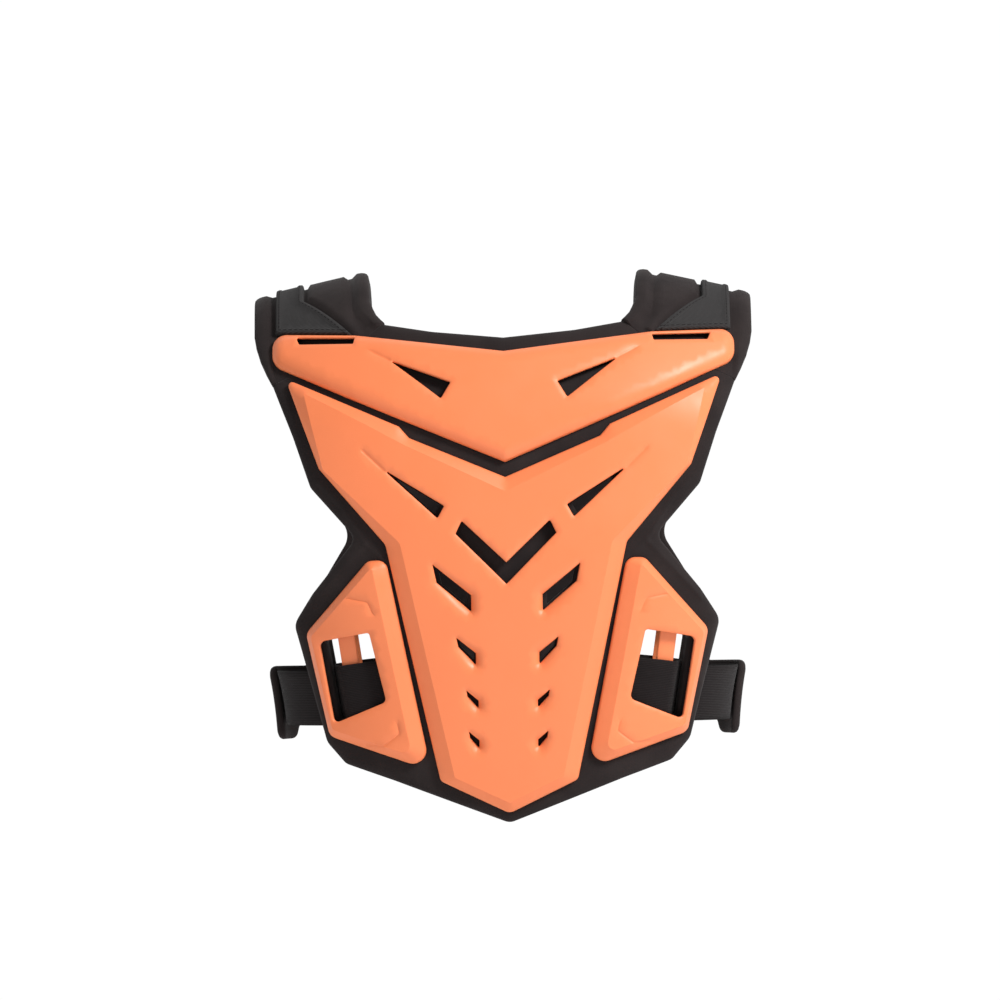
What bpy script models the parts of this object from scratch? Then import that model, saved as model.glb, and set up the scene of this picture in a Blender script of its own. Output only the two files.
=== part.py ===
"""Motorcycle armour vest: black foam panels, orange armour plates and elastic straps.

Metres. The wearer faces +Y, +X is the wearer's right and +Z is up. The origin lies midway
between the shoulders, level with the tops of the shoulder pads. Every panel is drawn flat, in
shares of the vest's half width and of its drop, and is then laid on the wearer's outline.
"""

import math
from collections import namedtuple

import bpy
from mathutils import Vector
from mathutils.geometry import delaunay_2d_cdt

# Driving sizes
HALF_SPAN = 0.185
DROP = 0.394
BACK_DEPTH = 0.122
FRONT_DEPTH = 0.114
PAD_THICKNESS = 0.007
PAD_EDGE_ROUND = 0.005
PAD_EDGE_FALL = 0.003
SHOULDER_PAD_THICKNESS = 0.009
PLATE_THICKNESS = 0.0025
PLATE_RISE = 0.0045
SIDE_PLATE_RISE = 0.0055
PLATE_GAP = 0.0055
CENTRE_GAP = 0.0110
CORNER_ROUND = 0.010
STRAP_WIDTH = 0.040
STRAP_THICKNESS = 0.0016
SHOULDER_STRAP_THICKNESS = 0.003

# Clearances
SEAT_CLEARANCE = 0.0007
SEAM_CLEARANCE = 0.0005
STRAP_CLEARANCE = 0.0012
FLANK_CLEARANCE = 0.0022

# The wearer's outline, at the outer face of the pads
SQUARENESS = 2.6
RIDGE_RADIUS = 0.110
RIDGE_RISE = 0.0395
RIDGE_SLOPE = 0.235
RIDGE_SOFTNESS = 0.040
WRAP_START = 0.97

# Mesh density
PANEL_STEP = 0.0175
ARC_STEPS = 3
ON_LINE = 1e-5
SLIVER = 1e-6

BACK = -1
FRONT = 1

Section = namedtuple("Section", "drop half_width back_depth front_depth")
Corner = namedtuple("Corner", "across drop round")
Vent = namedtuple("Vent", "outer inner outer_top inner_top inner_base outer_base")

TORSO = (
    Section(-0.10, 1.26, 0.66, 0.72),
    Section(0.08, 1.27, 0.77, 0.84),
    Section(0.25, 1.25, 0.93, 0.97),
    Section(0.50, 1.12, 1.00, 1.00),
    Section(0.76, 0.957, 0.94, 0.97),
    Section(1.05, 0.93, 0.83, 0.92),
)

# The seam between a shoulder pad and the panel below it, from the neck outwards
BACK_SEAM = (Corner(0.476, 0.056, 0.0), Corner(0.605, 0.107, 0.0), Corner(0.930, 0.172, 0.0))
FRONT_SEAM = (Corner(0.500, 0.090, 0.0), Corner(0.620, 0.125, 0.0), Corner(0.930, 0.172, 0.0))

BACK_NECKLINE = (Corner(0.0, 0.084, 0.0), Corner(0.286, 0.071, 6.0))
BACK_FLANK = (
    Corner(0.852, 0.270, 4.0),
    Corner(0.784, 0.366, 1.0),
    Corner(0.603, 0.462, 0.8),
    Corner(0.784, 0.566, 3.0),
    Corner(0.862, 0.622, 1.2),
    Corner(0.735, 0.845, 1.4),
    Corner(0.660, 0.885, 1.0),
    Corner(0.460, 0.918, 1.0),
    Corner(0.0, 1.0, 1.0),
)

FRONT_NECKLINE = (Corner(0.0, 0.235, 0.0), Corner(0.300, 0.215, 4.0), Corner(0.440, 0.130, 3.0))
FRONT_FLANK = (
    Corner(0.800, 0.300, 4.0),
    Corner(0.640, 0.460, 1.5),
    Corner(0.784, 0.570, 3.0),
    Corner(0.850, 0.626, 1.2),
    Corner(0.805, 0.706, 0.6),
    Corner(1.045, 0.706, 0.8),
    Corner(1.040, 0.842, 0.8),
    Corner(0.885, 0.842, 0.5),
    Corner(0.870, 0.815, 0.3),
    Corner(0.745, 0.815, 0.3),
    Corner(0.735, 0.845, 1.0),
    Corner(0.660, 0.882, 1.0),
    Corner(0.0, 0.905, 4.0),
)

YOKE_TOP = (Corner(0.0, 0.117, 0.0), Corner(0.589, 0.0845, 2.0), Corner(0.922, 0.081, 1.1))
YOKE_BASE = (Corner(0.922, 0.138, 1.1), Corner(0.638, 0.197, 4.0), Corner(0.0, 0.323, 0.0))
YOKE_FACE_INSET = 0.007
YOKE_SLOT = (
    Corner(0.822, 0.0925, 0.1),
    Corner(0.588, 0.0935, 0.1),
    Corner(0.594, 0.1065, 0.1),
    Corner(0.808, 0.1065, 0.1),
)
YOKE_VENT = (Corner(0.454, 0.137, 0.0), Corner(0.211, 0.178, 0.0), Corner(0.251, 0.207, 0.0))

SPINE_TOP_ACROSS = 0.870
SPINE_STEP_ACROSS = 0.400
SPINE_STEP_RUN = 0.020
SPINE_SIDE = (
    Corner(0.740, 0.331, 0.4),
    Corner(0.480, 0.474, 0.8),
    Corner(0.273, 0.918, 0.5),
    Corner(0.0, 0.980, 0.8),
)
SPINE_FACE = (
    Corner(0.400, 0.290, 0.0),
    Corner(0.550, 0.251, 0.0),
    Corner(0.790, 0.196, 0.0),
    Corner(0.715, 0.334, 0.0),
    Corner(0.418, 0.472, 0.8),
    Corner(0.214, 0.910, 0.0),
    Corner(0.0, 0.958, 0.0),
)
SPINE_UPPER_VENT = (Corner(0.486, 0.333, 0.0), Corner(0.243, 0.404, 0.0), Corner(0.270, 0.427, 0.0))
SPINE_CHEVRON = (
    Corner(0.0, 0.510, 0.0),
    Corner(0.175, 0.432, 0.0),
    Corner(0.200, 0.456, 0.0),
    Corner(0.0, 0.550, 0.0),
)
SPINE_VENTS = (
    Vent(0.292, 0.142, 0.512, 0.570, 0.601, 0.546),
    Vent(0.202, 0.126, 0.648, 0.678, 0.701, 0.666),
    Vent(0.165, 0.118, 0.747, 0.767, 0.782, 0.759),
    Vent(0.157, 0.117, 0.824, 0.841, 0.857, 0.836),
)
VENT_LEAN = 0.1
PAD_VENT_SHARE = 0.75
PAD_VENTS = (SPINE_VENTS[0], SPINE_VENTS[1])

SIDE_PLATE = (
    Corner(0.478, 0.503, 0.8),
    Corner(0.551, 0.504, 0.7),
    Corner(0.797, 0.637, 0.8),
    Corner(0.708, 0.832, 0.8),
    Corner(0.311, 0.898, 1.0),
)
SIDE_FACE_INSET = 0.006
WINDOW_TOP = (Corner(0.541, 0.636, 0.2), Corner(0.732, 0.651, 0.4))
WINDOW_BASE = (Corner(0.676, 0.806, 0.3), Corner(0.476, 0.766, 0.4))
BAR_TOP_ACROSS = 0.645
BAR_BASE_ACROSS = 0.592
BAR_WIDTH = 0.0127
BAR_THICKNESS = 0.0015
BAR_TUCK = 0.005

CHEST_PLATE = (
    Corner(0.0, 0.290, 0.0),
    Corner(0.620, 0.190, 3.0),
    Corner(0.865, 0.178, 1.0),
    Corner(0.735, 0.320, 1.0),
    Corner(0.482, 0.470, 1.0),
    Corner(0.300, 0.845, 0.8),
    Corner(0.0, 0.872, 2.0),
)
CHEST_FACE_INSET = 0.011

# Shoulder pads and straps: how far across they lie, at the ridge and beside the yoke
SHOULDER_NECK_ACROSS = 0.541
SHOULDER_OUTER_ACROSS = 1.0
SHOULDER_BEND_ACROSS = 0.520
SHOULDER_TAPER = 0.040
SHOULDER_BEND_DROP = 0.030
GREY_INNER_ACROSS = 0.798
GREY_OUTER_ACROSS = 0.908
GREY_FLARE_ACROSS = 0.640
GREY_FLARE_DROP = 0.020
GREY_FRONT_DROP = 0.130

# Side strap: its height, and how its stations lean to run beside the window's slanted edge
STRAP_WINDOW_DROP = 0.741
STRAP_FLANK_DROP = 0.762
STRAP_LEAN = 0.17
STRAP_END_ACROSS = 0.420
STRAP_ROWS = 4
FLANK_STATIONS = 7

ORANGE = (0.90, 0.34, 0.12)
BLACK_FOAM = (0.035, 0.030, 0.030)
BLACK_WEBBING = (0.022, 0.020, 0.021)
GREY_WEBBING = (0.12, 0.12, 0.125)


def smooth_share(drop, column):
    """A value of the torso table at a drop share, on a smooth curve through its rows."""
    rows = TORSO
    last = len(rows) - 2
    index = 0
    while index < last and drop > rows[index + 1].drop:
        index += 1
    before = rows[max(index - 1, 0)]
    start, end = rows[index], rows[index + 1]
    after = rows[min(index + 2, len(rows) - 1)]
    span = end.drop - start.drop
    share = min(max((drop - start.drop) / span, 0.0), 1.0)
    value = [getattr(row, column) for row in (before, start, end, after)]
    slope_in = (value[2] - value[0]) / max(end.drop - before.drop, 1e-6) * span
    slope_out = (value[3] - value[1]) / max(after.drop - start.drop, 1e-6) * span
    square, cube = share ** 2, share ** 3
    return ((2 * cube - 3 * square + 1) * value[1] + (cube - 2 * square + share) * slope_in
            + (3 * square - 2 * cube) * value[2] + (cube - square) * slope_out)


def half_width(z):
    return HALF_SPAN * smooth_share(-z / DROP, "half_width")


def depth(z, side):
    if side == BACK:
        return BACK_DEPTH * smooth_share(-z / DROP, "back_depth")
    return FRONT_DEPTH * smooth_share(-z / DROP, "front_depth")


def ridge_height(x):
    """Height of the shoulder ridge, which falls from the neck to the shoulder's end."""
    return RIDGE_RISE - RIDGE_SLOPE * math.hypot(x, RIDGE_SOFTNESS)


def oval(angle, width, deep):
    """Point of a squared oval; angle 0 is the middle of the back or chest, a quarter turn the flank."""
    power = 2.0 / SQUARENESS
    return width * math.sin(angle) ** power, deep * max(math.cos(angle), 0.0) ** power


def wrapped(x, width, deep):
    """Point of the oval at |x|; past WRAP_START the rest of x is measured along the curve."""
    knee = WRAP_START * width
    start = math.asin(WRAP_START ** (SQUARENESS / 2.0))
    if abs(x) <= knee:
        return oval(math.asin((abs(x) / width) ** (SQUARENESS / 2.0)), width, deep)
    left = abs(x) - knee
    steps = 24
    here = oval(start, width, deep)
    for index in range(1, steps + 1):
        angle = start + (math.pi / 2.0 - start) * index / steps
        there = oval(angle, width, deep)
        length = math.dist(here, there)
        if length >= left:
            share = left / length
            return (here[0] + (there[0] - here[0]) * share, here[1] + (there[1] - here[1]) * share)
        left -= length
        here = there
    return here[0], -left


def torso_point(x, z, side):
    width, deep = half_width(z), depth(z, side)
    across, out = wrapped(x, width, deep)
    fall = min(max((ridge_height(x) - z) / RIDGE_RADIUS, 0.0), 1.0)
    roll = math.sqrt(max(1.0 - (1.0 - fall) ** 2, 0.0))
    return Vector((math.copysign(across, x), side * out * roll, z))


def back_surface(x, z):
    return torso_point(x, z, BACK)


def front_surface(x, z):
    return torso_point(x, z, FRONT)


def shoulder_surface(x, along):
    """Over the ridge: along is 0 on the ridge, negative behind it and positive in front."""
    z = ridge_height(x) - RIDGE_RADIUS * (1.0 - math.cos(along / RIDGE_RADIUS))
    return torso_point(x, z, BACK if along < 0 else FRONT)


def shoulder_along(x, z, side):
    """The along value of the point at height z."""
    share = 1.0 - (ridge_height(x) - z) / RIDGE_RADIUS
    return side * RIDGE_RADIUS * math.acos(min(max(share, -1.0), 1.0))


def surface_normal(surface, x, along):
    step = 0.0005
    across = surface(x + step, along) - surface(x - step, along)
    up = surface(x, along + step) - surface(x, along - step)
    normal = across.cross(up).normalized()
    return -normal if surface is front_surface else normal


def place(corner, sign=1):
    return Vector((sign * corner.across * HALF_SPAN, -corner.drop * DROP))


def rounded(corners, sign=1):
    """Points of a closed outline whose corners are rounded by arcs."""
    spots = [place(corner, sign) for corner in corners]
    points = []
    for index, corner in enumerate(corners):
        spot = spots[index]
        before = spots[index - 1] - spot
        after = spots[(index + 1) % len(spots)] - spot
        radius = corner.round * CORNER_ROUND
        if radius <= 0.0:
            points.append(spot)
            continue
        half = before.angle(after) / 2.0
        run = min(radius / math.tan(half), 0.49 * before.length, 0.49 * after.length)
        radius = run * math.tan(half)
        middle = spot + (before.normalized() + after.normalized()).normalized() * radius / math.sin(half)
        first = spot + before.normalized() * run - middle
        last = spot + after.normalized() * run - middle
        sweep = first.angle_signed(last)
        steps = max(2, min(ARC_STEPS, round(abs(sweep) * radius / 0.002)))
        for step in range(steps + 1):
            turn = -sweep * step / steps
            spun = Vector((first.x * math.cos(turn) - first.y * math.sin(turn),
                           first.x * math.sin(turn) + first.y * math.cos(turn)))
            points.append(middle + spun)
    return points


def both_halves(corners):
    """A right half whose first and last corners lie on the centre line, with its mirrored half."""
    left = [Corner(-row.across, row.drop, row.round) for row in reversed(corners)]
    middle_end = left[0] if corners[-1].across == 0.0 else None
    middle_start = left[-1] if corners[0].across == 0.0 else None
    kept = [row for row in left if row is not middle_end and row is not middle_start]
    return list(corners) + kept


def resampled(points, step):
    """The same closed line with its long edges divided."""
    result = []
    for index in range(len(points)):
        start, end = points[index], points[(index + 1) % len(points)]
        pieces = max(1, math.ceil((end - start).length / step - 0.01))
        result.extend(start.lerp(end, piece / pieces) for piece in range(pieces))
    return result


def inset(points, distance):
    """A closed line moved inwards by a distance."""
    area = sum(a.x * b.y - b.x * a.y for a, b in zip(points, points[1:] + points[:1]))
    side = 1.0 if area > 0.0 else -1.0
    result = []
    for index, point in enumerate(points):
        into = (point - points[index - 1]).normalized()
        away = (points[(index + 1) % len(points)] - point).normalized()
        normal = Vector((-into.y - away.y, into.x + away.x)) * side
        normal.normalize()
        spread = max(normal.dot(Vector((-into.y, into.x)) * side), 0.5)
        result.append(point + normal * distance / spread)
    return result


def contains(points, spot):
    inside = False
    for a, b in zip(points, points[1:] + points[:1]):
        if (a.y > spot.y) != (b.y > spot.y):
            if spot.x < a.x + (b.x - a.x) * (spot.y - a.y) / (b.y - a.y):
                inside = not inside
    return inside


def distance_to(points, spot):
    """Distance from a spot to a closed line."""
    nearest = math.inf
    for a, b in zip(points, points[1:] + points[:1]):
        edge = b - a
        share = min(max((spot - a).dot(edge) / max(edge.length_squared, 1e-12), 0.0), 1.0)
        nearest = min(nearest, (a + edge * share - spot).length)
    return nearest


def filled(outline, holes, creases, step):
    """Triangles that fill an outline round its holes, with their edges along the creases."""
    lines = [resampled(line, step) for line in [outline, *holes, *creases]]
    spots, edges = [], []
    for line in lines:
        first = len(spots)
        spots.extend(line)
        edges.extend((first + i, first + (i + 1) % len(line)) for i in range(len(line)))
    low = Vector((min(p.x for p in outline), min(p.y for p in outline)))
    high = Vector((max(p.x for p in outline), max(p.y for p in outline)))
    row_step = step * math.sqrt(0.75)
    for row in range(int((high.y - low.y) / row_step) + 1):
        shift = 0.5 * step * (row % 2)
        columns = int((high.x - low.x) / (2 * step)) + 1
        for column in range(-columns, columns + 1):
            spot = Vector(((low.x + high.x) / 2 + shift + column * step, low.y + row * row_step))
            if not contains(outline, spot):
                continue
            if min(distance_to(line, spot) for line in lines) > 0.55 * step:
                spots.append(spot)
    verts, _, faces, *_ = delaunay_2d_cdt(spots, edges, [], 0, 1e-7)
    kept = []
    for face in faces:
        centre = sum((verts[i] for i in face), Vector((0.0, 0.0))) / len(face)
        on_border = any(distance_to(line, centre) < SLIVER for line in [outline, *holes])
        if on_border or not contains(outline, centre):
            continue
        if not any(contains(hole, centre) for hole in holes):
            kept.append(face)
    return verts, kept


def sheet_object(name, spots, faces, surface, height, thickness, material, thinning=None):
    """Lays flat points on a surface at their heights, and gives the sheet its thickness inwards."""
    used = sorted({index for face in faces for index in face})
    number = {index: position for position, index in enumerate(used)}
    points = []
    for index in used:
        spot = spots[index]
        normal = surface_normal(surface, spot.x, spot.y)
        points.append(surface(spot.x, spot.y) + normal * height(spot))
    polygons = [[number[index] for index in face] for face in faces]
    if surface is front_surface:
        polygons = [face[::-1] for face in polygons]
    mesh = bpy.data.meshes.new(name)
    mesh.from_pydata(points, [], polygons)
    mesh.update()
    mesh.materials.append(material)
    thing = bpy.data.objects.new(name, mesh)
    COLLECTION.objects.link(thing)
    solid = thing.modifiers.new("thickness", "SOLIDIFY")
    solid.thickness = thickness
    solid.offset = -1.0
    if thinning is not None:
        group = thing.vertex_groups.new(name="thickness")
        for position, index in enumerate(used):
            group.add([position], 1.0 - thinning(spots[index]) / thickness, "REPLACE")
        solid.vertex_group = group.name
    return thing


def pad_object(name, outline, holes, surface, thickness, material):
    """A foam panel whose rim falls away in a soft edge."""
    rim_line = inset(resampled(outline, PANEL_STEP), PAD_EDGE_ROUND)
    spots, faces = filled(outline, holes, [rim_line], PANEL_STEP)

    def fall(spot):
        share = min(distance_to(outline, spot) / PAD_EDGE_ROUND, 1.0)
        return PAD_EDGE_FALL * (1.0 - share)

    return sheet_object(name, spots, faces, surface, lambda spot: -fall(spot), thickness,
                        material, fall)


def plate_object(name, outline, holes, face, rise, surface, material):
    """A moulded shell: its rim lies on the pad and its face stands proud by the rise."""
    spots, faces = filled(outline, holes, [face], PANEL_STEP)
    rim = SEAT_CLEARANCE + PLATE_THICKNESS

    def height(spot):
        on_face = contains(face, spot) or distance_to(face, spot) < ON_LINE
        return rim + rise if on_face else rim

    return sheet_object(name, spots, faces, surface, height, PLATE_THICKNESS, material)


def vent_corners(vent):
    return (
        Corner(vent.outer, vent.outer_top, 0.0),
        Corner(vent.inner, vent.inner_top, 0.0),
        Corner(vent.inner, vent.inner_base, 0.0),
        Corner(vent.outer - VENT_LEAN * (vent.outer - vent.inner), vent.outer_base, 0.0),
    )


def paired(corner_lists):
    return [rounded(corners, sign) for corners in corner_lists for sign in (1, -1)]


def shrunk(points, share):
    centre = sum(points, Vector((0.0, 0.0))) / len(points)
    return [centre + (point - centre) * share for point in points]


def yoke_lower_edge(across):
    rows = YOKE_BASE
    for outer, inner in zip(rows, rows[1:]):
        if across >= inner.across:
            share = (across - inner.across) / (outer.across - inner.across)
            return inner.drop + (outer.drop - inner.drop) * share
    return rows[-1].drop


def below_yoke(across, gap, round_share=0.0):
    return Corner(across, yoke_lower_edge(across) + gap / DROP, round_share)


def window_outline(sign):
    return rounded(WINDOW_TOP + WINDOW_BASE, sign)


def edge_drop(first, last, across):
    share = (across - first.across) / (last.across - first.across)
    return first.drop + (last.drop - first.drop) * share


def bar_outline(sign):
    """The strap bar crosses the window and is tucked under the plate above and below it."""
    half = 0.5 * BAR_WIDTH / HALF_SPAN
    tuck = BAR_TUCK / DROP
    top = edge_drop(*WINDOW_TOP, BAR_TOP_ACROSS) - tuck
    base = edge_drop(*WINDOW_BASE, BAR_BASE_ACROSS) + tuck
    corners = [Corner(BAR_TOP_ACROSS - half, top, 0.0), Corner(BAR_TOP_ACROSS + half, top, 0.0)]
    corners += [Corner(BAR_BASE_ACROSS + half, base, 0.0), Corner(BAR_BASE_ACROSS - half, base, 0.0)]
    return rounded(corners, sign)


def make_back_pad(material):
    corners = BACK_NECKLINE + BACK_SEAM + BACK_FLANK
    vents = [SPINE_UPPER_VENT] + [vent_corners(vent) for vent in PAD_VENTS]
    holes = [shrunk(points, PAD_VENT_SHARE) for points in paired(vents)]
    holes += [window_outline(1), window_outline(-1)]
    pad_object("back_pad", rounded(both_halves(corners)), holes, back_surface,
               PAD_THICKNESS, material)


def make_front_pad(material):
    corners = FRONT_NECKLINE + FRONT_SEAM + FRONT_FLANK
    holes = [window_outline(1), window_outline(-1)]
    pad_object("front_pad", rounded(both_halves(corners)), holes, front_surface,
               PAD_THICKNESS, material)


def make_yoke_plate(material):
    outline = rounded(both_halves(YOKE_TOP + YOKE_BASE))
    face = inset(resampled(outline, PANEL_STEP), YOKE_FACE_INSET)
    holes = paired([YOKE_VENT])
    holes += paired([YOKE_SLOT])
    plate_object("back_yoke_plate", outline, holes, face, PLATE_RISE, back_surface, material)


def make_spine_plate(material):
    top = (
        below_yoke(0.0, CENTRE_GAP),
        below_yoke(SPINE_STEP_ACROSS - SPINE_STEP_RUN, CENTRE_GAP),
        below_yoke(SPINE_STEP_ACROSS + SPINE_STEP_RUN, PLATE_GAP),
        below_yoke(SPINE_TOP_ACROSS, PLATE_GAP, 0.3),
    )
    outline = rounded(both_halves(top + SPINE_SIDE))
    face = rounded(both_halves((below_yoke(0.0, 2 * CENTRE_GAP),) + SPINE_FACE))
    holes = paired([SPINE_UPPER_VENT] + [vent_corners(vent) for vent in SPINE_VENTS])
    holes.append(rounded(both_halves(SPINE_CHEVRON)))
    plate_object("back_spine_plate", outline, holes, face, PLATE_RISE, back_surface, material)


def make_side_plate(name, sign, surface, material):
    outline = rounded(SIDE_PLATE, sign)
    face = inset(resampled(outline, PANEL_STEP), SIDE_FACE_INSET)
    plate_object(name, outline, [window_outline(sign)], face, SIDE_PLATE_RISE, surface, material)


def make_strap_bar(name, sign, surface, material):
    spots, faces = filled(bar_outline(sign), [], [], PANEL_STEP)
    top = SEAM_CLEARANCE + BAR_THICKNESS
    sheet_object(name, spots, faces, surface, lambda spot: top, BAR_THICKNESS, material)


def make_chest_plate(material):
    outline = rounded(both_halves(CHEST_PLATE))
    face = inset(resampled(outline, PANEL_STEP), CHEST_FACE_INSET)
    plate_object("front_chest_plate", outline, [], face, PLATE_RISE, front_surface, material)


def seam_points(seam, sign, side, clearance):
    """The seam's points in the shoulder's own flat plan, clear of the panel below."""
    spots = [place(corner, sign) for corner in seam]
    return [Vector((spot.x, shoulder_along(spot.x, spot.y + clearance, side))) for spot in spots]


def make_shoulder_pad(name, sign, material):
    neck = sign * SHOULDER_NECK_ACROSS * HALF_SPAN
    bend = sign * SHOULDER_BEND_ACROSS * HALF_SPAN
    outer = sign * SHOULDER_OUTER_ACROSS * HALF_SPAN
    bend_back = shoulder_along(bend, -SHOULDER_BEND_DROP * DROP, BACK)
    bend_front = shoulder_along(bend, -SHOULDER_BEND_DROP * DROP, FRONT)
    back = seam_points(BACK_SEAM, sign, BACK, SEAM_CLEARANCE)
    front = seam_points(FRONT_SEAM, sign, FRONT, SEAM_CLEARANCE)
    outline = back
    outline += [Vector((outer, back[-1].y + SHOULDER_TAPER)), Vector((outer, front[-1].y - SHOULDER_TAPER))]
    outline += front[::-1]
    outline += [Vector((bend, bend_front)), Vector((neck, 0.4 * bend_front))]
    outline += [Vector((neck, 0.4 * bend_back)), Vector((bend, bend_back))]
    pad_object(name, outline, [], shoulder_surface, SHOULDER_PAD_THICKNESS, material)


def make_shoulder_strap(name, sign, material):
    """Grey strap over the shoulder pad, flared behind, where it meets the yoke."""
    def spot(across, drop, side):
        x = sign * across * HALF_SPAN
        return Vector((x, shoulder_along(x, -drop * DROP, side)))

    gap = SEAT_CLEARANCE / DROP
    foot_inner = edge_drop(YOKE_TOP[1], YOKE_TOP[2], GREY_FLARE_ACROSS) - gap
    foot_outer = edge_drop(YOKE_TOP[1], YOKE_TOP[2], GREY_OUTER_ACROSS) - gap
    outline = [
        spot(GREY_FLARE_ACROSS, foot_inner, BACK),
        spot(GREY_INNER_ACROSS, GREY_FLARE_DROP, BACK),
        spot(GREY_INNER_ACROSS, GREY_FRONT_DROP, FRONT),
        spot(GREY_OUTER_ACROSS, GREY_FRONT_DROP, FRONT),
        spot(GREY_OUTER_ACROSS, foot_outer, BACK),
    ]
    spots, faces = filled(outline, [], [], PANEL_STEP)
    top = SEAM_CLEARANCE + SHOULDER_STRAP_THICKNESS
    sheet_object(name, spots, faces, shoulder_surface, lambda spot: top,
                 SHOULDER_STRAP_THICKNESS, material)


def across_at(first, last, drop):
    share = (drop - first.drop) / (last.drop - first.drop)
    return first.across + (last.across - first.across) * share


def bar_across(drop):
    top = Corner(BAR_TOP_ACROSS, edge_drop(*WINDOW_TOP, BAR_TOP_ACROSS), 0.0)
    base = Corner(BAR_BASE_ACROSS, edge_drop(*WINDOW_BASE, BAR_BASE_ACROSS), 0.0)
    return across_at(top, base, drop)


def strap_stations():
    """Distance across and height of the strap's outer face, from its sewn end to the flank."""
    over = 2.0 * SEAM_CLEARANCE + BAR_THICKNESS + STRAP_CLEARANCE + STRAP_THICKNESS
    under = -PAD_THICKNESS - FLANK_CLEARANCE
    flat = STRAP_CLEARANCE + STRAP_THICKNESS
    bar = bar_across(STRAP_WINDOW_DROP) * HALF_SPAN
    edge = across_at(WINDOW_TOP[1], WINDOW_BASE[0], STRAP_WINDOW_DROP) * HALF_SPAN
    frame = across_at(WINDOW_TOP[0], WINDOW_BASE[1], STRAP_WINDOW_DROP) * HALF_SPAN
    return [
        (STRAP_END_ACROSS * HALF_SPAN, flat),
        (frame, flat),
        (bar - 0.5 * BAR_WIDTH - STRAP_CLEARANCE, over),
        (bar, over),
        (bar + 0.5 * BAR_WIDTH + 0.5 * STRAP_CLEARANCE, over),
        (edge - STRAP_CLEARANCE, under),
        (edge + BAR_WIDTH, under),
    ]


def make_side_strap(name, sign, material):
    """Elastic strap from the back window round the flank to the front window."""
    rows = []
    for side in (BACK, FRONT):
        path = []
        for x, height in strap_stations():
            path.append((x, -STRAP_WINDOW_DROP * DROP, height, STRAP_LEAN))
        start = path[-1][0]
        level = -STRAP_FLANK_DROP * DROP
        width = half_width(level)
        begin = math.asin((start / width) ** (SQUARENESS / 2.0))
        last = FLANK_STATIONS if side == BACK else FLANK_STATIONS - 1
        for index in range(1, last + 1):
            angle = begin + (math.pi / 2.0 - begin) * index / FLANK_STATIONS
            path.append((angle, level, path[-1][2], None))
        rows.append((side, path))

    def point(side, entry, rise):
        where, level, height, lean = entry
        z = level + rise
        if lean is not None:
            surface = back_surface if side == BACK else front_surface
            x = where + lean * rise
            return surface(x, z) + surface_normal(surface, x, z) * height
        width, deep = half_width(z), depth(z, side)
        across, out = oval(where, width, deep)
        ahead = oval(min(where + 0.01, math.pi / 2.0), width, deep)
        behind = oval(where - 0.01, width, deep)
        tangent = Vector((ahead[0] - behind[0], ahead[1] - behind[1])).normalized()
        return Vector((across - tangent.y * height, side * (out + tangent.x * height), z))

    stations = [(BACK, entry) for entry in rows[0][1]]
    stations += [(FRONT, entry) for entry in reversed(rows[1][1])]
    mesh = bpy.data.meshes.new(name)
    points, faces = [], []
    for side, entry in stations:
        for row in range(STRAP_ROWS):
            spot = point(side, entry, STRAP_WIDTH * (row / (STRAP_ROWS - 1) - 0.5))
            points.append((sign * spot.x, spot.y, spot.z))
    for station in range(len(stations) - 1):
        for row in range(STRAP_ROWS - 1):
            corner = station * STRAP_ROWS + row
            face = [corner, corner + STRAP_ROWS, corner + STRAP_ROWS + 1, corner + 1]
            faces.append(face if sign > 0 else face[::-1])
    mesh.from_pydata(points, [], faces)
    mesh.update()
    mesh.materials.append(material)
    thing = bpy.data.objects.new(name, mesh)
    COLLECTION.objects.link(thing)
    solid = thing.modifiers.new("thickness", "SOLIDIFY")
    solid.thickness = STRAP_THICKNESS
    solid.offset = -1.0


def make_material(name, colour, roughness):
    material = bpy.data.materials.new(name)
    material.use_nodes = True
    shader = material.node_tree.nodes["Principled BSDF"]
    shader.inputs["Base Color"].default_value = (*colour, 1.0)
    shader.inputs["Roughness"].default_value = roughness
    shader.inputs["Metallic"].default_value = 0.0
    return material


def clear_scene():
    for thing in list(bpy.data.objects):
        bpy.data.objects.remove(thing, do_unlink=True)


clear_scene()
COLLECTION = bpy.data.collections.new("motorcycle_armour_vest")
bpy.context.scene.collection.children.link(COLLECTION)

orange_plastic = make_material("orange_plastic", ORANGE, 0.45)
black_foam = make_material("black_foam", BLACK_FOAM, 0.85)
black_webbing = make_material("black_webbing", BLACK_WEBBING, 0.9)
grey_webbing = make_material("grey_webbing", GREY_WEBBING, 0.8)

make_back_pad(black_foam)
make_front_pad(black_foam)
make_yoke_plate(orange_plastic)
make_spine_plate(orange_plastic)
make_chest_plate(orange_plastic)
for hand, sign in (("left", -1), ("right", 1)):
    make_side_plate("back_side_plate_" + hand, sign, back_surface, orange_plastic)
    make_side_plate("front_side_plate_" + hand, sign, front_surface, orange_plastic)
    make_strap_bar("back_strap_bar_" + hand, sign, back_surface, orange_plastic)
    make_strap_bar("front_strap_bar_" + hand, sign, front_surface, orange_plastic)
    make_shoulder_pad("shoulder_pad_" + hand, sign, black_foam)
    make_shoulder_strap("shoulder_strap_" + hand, sign, grey_webbing)
    make_side_strap("side_strap_" + hand, sign, black_webbing)
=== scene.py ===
"""Finish of the motorcycle armour vest: moulded plates, foam pads and woven straps."""

import math
from collections import namedtuple

import bpy
import numpy as np
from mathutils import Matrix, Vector
from mathutils.geometry import delaunay_2d_cdt


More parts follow.
